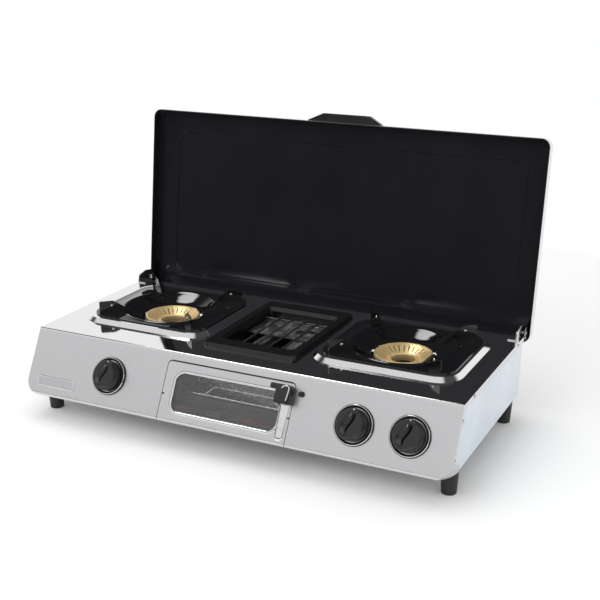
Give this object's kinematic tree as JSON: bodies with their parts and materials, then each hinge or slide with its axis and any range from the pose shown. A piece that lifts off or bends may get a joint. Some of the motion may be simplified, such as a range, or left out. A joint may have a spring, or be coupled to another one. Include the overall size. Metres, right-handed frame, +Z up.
{
  "type": "gas camping stove",
  "caption": "Table-top gas stove: sloping front with knobs, brass burners under finned pan supports, a central grill behind a glass door and a large hinged lid.",
  "frame": {"origin": "middle of the base of the whole stove with its lid open, on the ground plane", "axes": "+X to the user's right, +Y to the back, +Z up; the knobs and the grill door face -Y"},
  "size_m": [0.706, 0.4401, 0.4414],
  "materials": {
    "casing_stainless": "polished top, fine brushed front",
    "side_paint": "pale blue-white gloss paint",
    "galvanised_sheet": "dull galvanised",
    "black_rubber": "matte black rubber",
    "plated_screw": "bright zinc plate",
    "door_stainless": "fine brushed",
    "door_glass": "smoked heat-proof glass",
    "chrome_trim": "polished",
    "badge_plate": "satin, blank",
    "black_plastic": "semi-gloss black heat-proof plastic",
    "brass_fittings": "machined",
    "cast_aluminium": "as cast",
    "plated_tube": "satin plated",
    "cast_iron": "as cast",
    "burner_brass": "machined, bright",
    "black_enamel": "gloss black enamel",
    "lid_enamel": "gloss black enamel",
    "grate_enamel": "black enamel wire",
    "bright_rivet": "bright rivet",
    "aluminised_sheet": "mottled aluminised",
    "cavity_enamel": "dark grey enamel",
    "rack_wire": "bright wire",
    "lid_stainless": "polished",
    "bright_bracket": "bright plated",
    "ceramic": "white ceramic"
  },
  "bodies": {
    "casing": {"top_and_fascia_sheet": "casing_stainless", "side_panel_left": "side_paint", "side_panel_right": "side_paint", "back_panel": "galvanised_sheet", "bottom_tray": "galvanised_sheet", "rubber_feet": "black_rubber", "door_rest_stud": "black_rubber", "foot_screws": "plated_screw", "flange_screws": "plated_screw", "hinge_pins": "plated_screw", "grill_door_hinge_pins": "plated_screw", "knob_trim_rings": "chrome_trim", "blank_badge_plate": "badge_plate", "knob_bezels": "black_plastic", "injectors": "brass_fittings", "gas_inlet_nozzle": "brass_fittings", "valve_bodies": "cast_aluminium", "grill_burner": "cast_aluminium", "gas_manifold_pipe": "plated_tube", "grill_gas_pipe": "plated_tube", "mixing_tube_left": "plated_tube", "mixing_tube_right": "plated_tube", "burner_cup_left": "cast_iron", "burner_cup_right": "cast_iron", "grill_reflector_plate": "aluminised_sheet", "grill_cavity_liner": "cavity_enamel", "hinge_brackets": "bright_bracket", "igniter_electrodes": "ceramic"},
    "lid": {"lid_outer_skin": "lid_stainless", "lid_inner_liner": "lid_enamel", "lid_handle": "black_plastic", "lid_handle_screws": "plated_screw", "lid_ears": "black_enamel"},
    "grill_door": {"grill_door_frame": "door_stainless", "grill_door_glass": "door_glass", "grill_door_handle_bar": "chrome_trim", "grill_door_grip": "black_plastic"},
    "grill_carriage": {"grill_rack": "rack_wire", "drip_tray": "cavity_enamel", "rack_posts": "cavity_enamel"},
    "grill_top": {"grill_top_frame": "black_enamel", "grill_top_grate": "grate_enamel"},
    "pan_support_left": {"pan_support_left": "black_enamel", "fin_rivets_left": "bright_rivet"},
    "burner_head_left": {"burner_head_left": "burner_brass"},
    "pan_support_right": {"pan_support_right": "black_enamel", "fin_rivets_right": "bright_rivet"},
    "burner_head_right": {"burner_head_right": "burner_brass"},
    "valve_rotor_left_burner": {"valve_rotor_left_burner": "brass_fittings"},
    "knob_left_burner": {"knob_left_burner": "black_plastic", "valve_stem_left_burner": "brass_fittings"},
    "valve_rotor_right_burner": {"valve_rotor_right_burner": "brass_fittings"},
    "knob_right_burner": {"knob_right_burner": "black_plastic", "valve_stem_right_burner": "brass_fittings"},
    "valve_rotor_grill": {"valve_rotor_grill": "brass_fittings"},
    "knob_grill": {"knob_grill": "black_plastic", "valve_stem_grill": "brass_fittings"}
  },
  "joints": [
    {"name": "lid_hinge", "type": "hinge", "parent": "casing", "child": "lid", "pos_m": [0, 0.1402, 0.137], "axis": [-1, 0, 0], "range_deg": [-97.25, 0]},
    {"name": "grill_door_hinge", "type": "hinge", "parent": "casing", "child": "grill_door", "pos_m": [0, -0.1988, 0.0448], "axis": [1, 0, 0], "range_deg": [0, 90]},
    {"name": "grill_carriage_slide", "type": "slide", "parent": "casing", "child": "grill_carriage", "axis": [0, -1, 0], "range_m": [0, 0.055]},
    {"name": "knob_turn_left_burner", "type": "hinge", "parent": "casing", "child": "valve_rotor_left_burner", "pos_m": [-0.203, -0.19205, 0.08667], "axis": [0, -0.8787, 0.4773], "range_deg": [0, 90]},
    {"name": "knob_push_left_burner", "type": "slide", "parent": "valve_rotor_left_burner", "child": "knob_left_burner", "axis": [0, 0.8787, -0.4773], "range_m": [0, 0.003], "stiffness_N_per_m": 1500, "springref_m": -0.001},
    {"name": "knob_turn_right_burner", "type": "hinge", "parent": "casing", "child": "valve_rotor_right_burner", "pos_m": [0.203, -0.19205, 0.08667], "axis": [0, -0.8787, 0.4773], "range_deg": [0, 90]},
    {"name": "knob_push_right_burner", "type": "slide", "parent": "valve_rotor_right_burner", "child": "knob_right_burner", "axis": [0, 0.8787, -0.4773], "range_m": [0, 0.003], "stiffness_N_per_m": 1500, "springref_m": -0.001},
    {"name": "knob_turn_grill", "type": "hinge", "parent": "casing", "child": "valve_rotor_grill", "pos_m": [0.285, -0.19205, 0.08667], "axis": [0, -0.8787, 0.4773], "range_deg": [0, 90]},
    {"name": "knob_push_grill", "type": "slide", "parent": "valve_rotor_grill", "child": "knob_grill", "axis": [0, 0.8787, -0.4773], "range_m": [0, 0.003], "stiffness_N_per_m": 1500, "springref_m": -0.001},
    {"name": "pan_support_lift_left", "type": "slide", "parent": "casing", "child": "pan_support_left", "axis": [0, 0, 1], "range_m": [0, 0.03]},
    {"name": "burner_head_lift_left", "type": "slide", "parent": "casing", "child": "burner_head_left", "axis": [0, 0, 1], "range_m": [0, 0.02]},
    {"name": "pan_support_lift_right", "type": "slide", "parent": "casing", "child": "pan_support_right", "axis": [0, 0, 1], "range_m": [0, 0.03]},
    {"name": "burner_head_lift_right", "type": "slide", "parent": "casing", "child": "burner_head_right", "axis": [0, 0, 1], "range_m": [0, 0.02]},
    {"name": "grill_top_lift", "type": "slide", "parent": "casing", "child": "grill_top", "axis": [0, 0, 1], "range_m": [0, 0.02]}
  ],
  "couplings": [
    {"joint": "grill_carriage_slide", "follows": "grill_door_hinge", "m_per_rad": 0.035}
  ]
}
